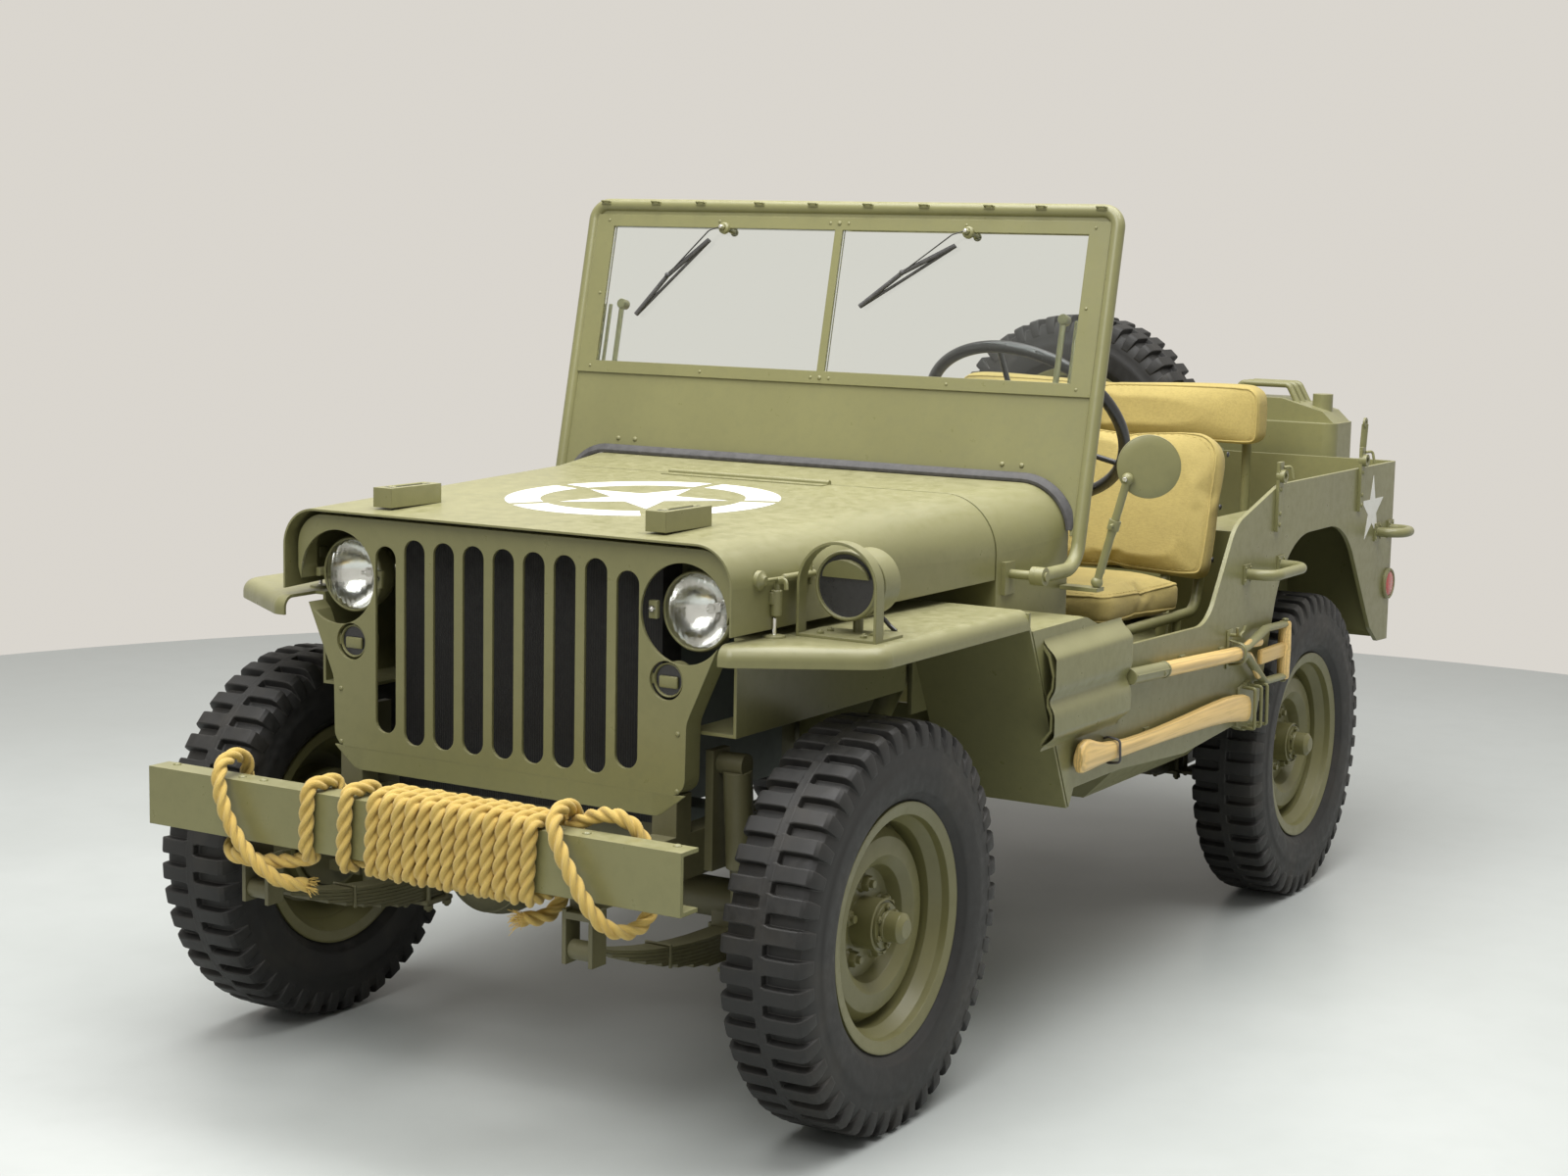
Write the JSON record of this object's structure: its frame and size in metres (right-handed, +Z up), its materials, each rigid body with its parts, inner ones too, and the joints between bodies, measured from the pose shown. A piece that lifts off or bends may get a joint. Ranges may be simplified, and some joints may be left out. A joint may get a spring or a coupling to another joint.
{
  "type": "army 4x4 car",
  "caption": "Open quarter-ton military scout car with flat slotted grille, folding windshield, front and rear seats, rear-mounted spare wheel and a rope wound on the bumper.",
  "frame": {"origin": "on the ground under the middle of the car's bounding box, rope left out", "axes": "+X towards the front bumper, +Y to the car's own left, +Z up"},
  "size_m": [3.3441, 1.6131, 1.619],
  "materials": {
    "body_paint": "satin olive drab",
    "chassis_paint": "flat dark olive",
    "wheel_paint": "satin olive drab",
    "tyre_rubber": "matt black, moulded lugs",
    "canvas": "khaki canvas with sewn seams",
    "rope_fibre": "three-strand manila",
    "tool_wood": "pale oiled ash",
    "block_wood": "wood painted olive",
    "window_glass": "clear flat glass",
    "lamp_glass": "fluted clear lens",
    "wheel_rim_black": "black moulded rim",
    "core_black": "matt black core",
    "engine_grey": "painted grey-green casting",
    "exhaust_steel": "dull heat-stained steel"
  },
  "bodies": {
    "chassis": {"blackout_lamp": "body_paint", "body_handles": "body_paint", "body_sides": "body_paint", "cowl": "body_paint", "driveline": "chassis_paint", "engine_block": "engine_grey", "exhaust": "exhaust_steel", "frame": "chassis_paint", "front_axle": "chassis_paint", "front_bumper": "body_paint", "front_fenders": "body_paint", "grille": "body_paint", "jerrycan": "body_paint", "lamps": "lamp_glass", "leaf_springs": "chassis_paint", "mirror": "body_paint", "pintle_hook": "body_paint", "pioneer_tools": "tool_wood", "radiator": "core_black", "rear_axle": "chassis_paint", "rear_bumpers": "body_paint", "rear_carriers": "body_paint", "rear_panel": "body_paint", "rope_coil": "rope_fibre", "rope_end_left": "rope_fibre", "rope_end_right": "rope_fibre", "seat_cushions": "canvas", "seat_frames": "body_paint", "shock_absorbers": "chassis_paint", "spare_tyre": "tyre_rubber", "spare_wheel": "wheel_paint", "steering_column": "body_paint", "tub_floor": "body_paint"},
    "hood": {"hood": "body_paint", "hood_blocks": "block_wood"},
    "windshield": {"windshield_frame": "body_paint", "windshield_glass": "window_glass"},
    "passenger_seat": {"passenger_seat": "body_paint", "passenger_cushions": "canvas"},
    "steering_wheel": {"steering_wheel": "wheel_rim_black"},
    "knuckle_left": {"knuckle_left": "chassis_paint"},
    "knuckle_right": {"knuckle_right": "chassis_paint"},
    "tie_rod": {"tie_rod": "chassis_paint"},
    "wheel_front_left": {"wheel_front_left": "wheel_paint", "tyre_front_left": "tyre_rubber"},
    "wheel_front_right": {"wheel_front_right": "wheel_paint", "tyre_front_right": "tyre_rubber"},
    "wheel_rear_left": {"wheel_rear_left": "wheel_paint", "tyre_rear_left": "tyre_rubber"},
    "wheel_rear_right": {"wheel_rear_right": "wheel_paint", "tyre_rear_right": "tyre_rubber"}
  },
  "joints": [
    {"name": "hood_hinge", "type": "hinge", "parent": "chassis", "child": "hood", "pos_m": [0.5433, 0, 1.059], "axis": [0, -1, 0], "range_deg": [0, 110]},
    {"name": "windshield_fold", "type": "hinge", "parent": "chassis", "child": "windshield", "pos_m": [0.497, 0, 0.905], "axis": [0, -1, 0], "range_deg": [-100, 0]},
    {"name": "passenger_seat_tip", "type": "hinge", "parent": "chassis", "child": "passenger_seat", "pos_m": [0.062, -0.398, 0.5413], "axis": [0, 1, 0], "range_deg": [0, 45]},
    {"name": "steer_left", "type": "hinge", "parent": "chassis", "child": "knuckle_left", "pos_m": [1.137, 0.525, 0.362], "axis": [0, 0, 1], "range_deg": [-27, 27]},
    {"name": "steer_right", "type": "hinge", "parent": "chassis", "child": "knuckle_right", "pos_m": [1.137, -0.525, 0.362], "axis": [0, 0, 1], "range_deg": [-27, 27]},
    {"name": "tie_rod_pivot", "type": "hinge", "parent": "knuckle_left", "child": "tie_rod", "pos_m": [0.987, 0.525, 0.418], "axis": [0, 0, 1], "range_deg": [-27, 27]},
    {"name": "steering_wheel_turn", "type": "hinge", "parent": "chassis", "child": "steering_wheel", "pos_m": [-0.023, 0.346, 1.159], "axis": [0.7547, 0, -0.6561], "range_deg": [-378, 378]},
    {"name": "wheel_front_left_spin", "type": "hinge", "parent": "knuckle_left", "child": "wheel_front_left", "pos_m": [1.137, 0.6225, 0.362], "axis": [0, 1, 0], "continuous": true},
    {"name": "wheel_front_right_spin", "type": "hinge", "parent": "knuckle_right", "child": "wheel_front_right", "pos_m": [1.137, -0.6225, 0.362], "axis": [0, 1, 0], "continuous": true},
    {"name": "wheel_rear_left_spin", "type": "hinge", "parent": "chassis", "child": "wheel_rear_left", "pos_m": [-0.895, 0.6225, 0.362], "axis": [0, 1, 0], "continuous": true},
    {"name": "wheel_rear_right_spin", "type": "hinge", "parent": "chassis", "child": "wheel_rear_right", "pos_m": [-0.895, -0.6225, 0.362], "axis": [0, 1, 0], "continuous": true}
  ],
  "couplings": [
    {"joint": "steer_right", "follows": "steer_left", "ratio": 1},
    {"joint": "tie_rod_pivot", "follows": "steer_left", "ratio": -1},
    {"joint": "steering_wheel_turn", "follows": "steer_left", "ratio": -14}
  ]
}
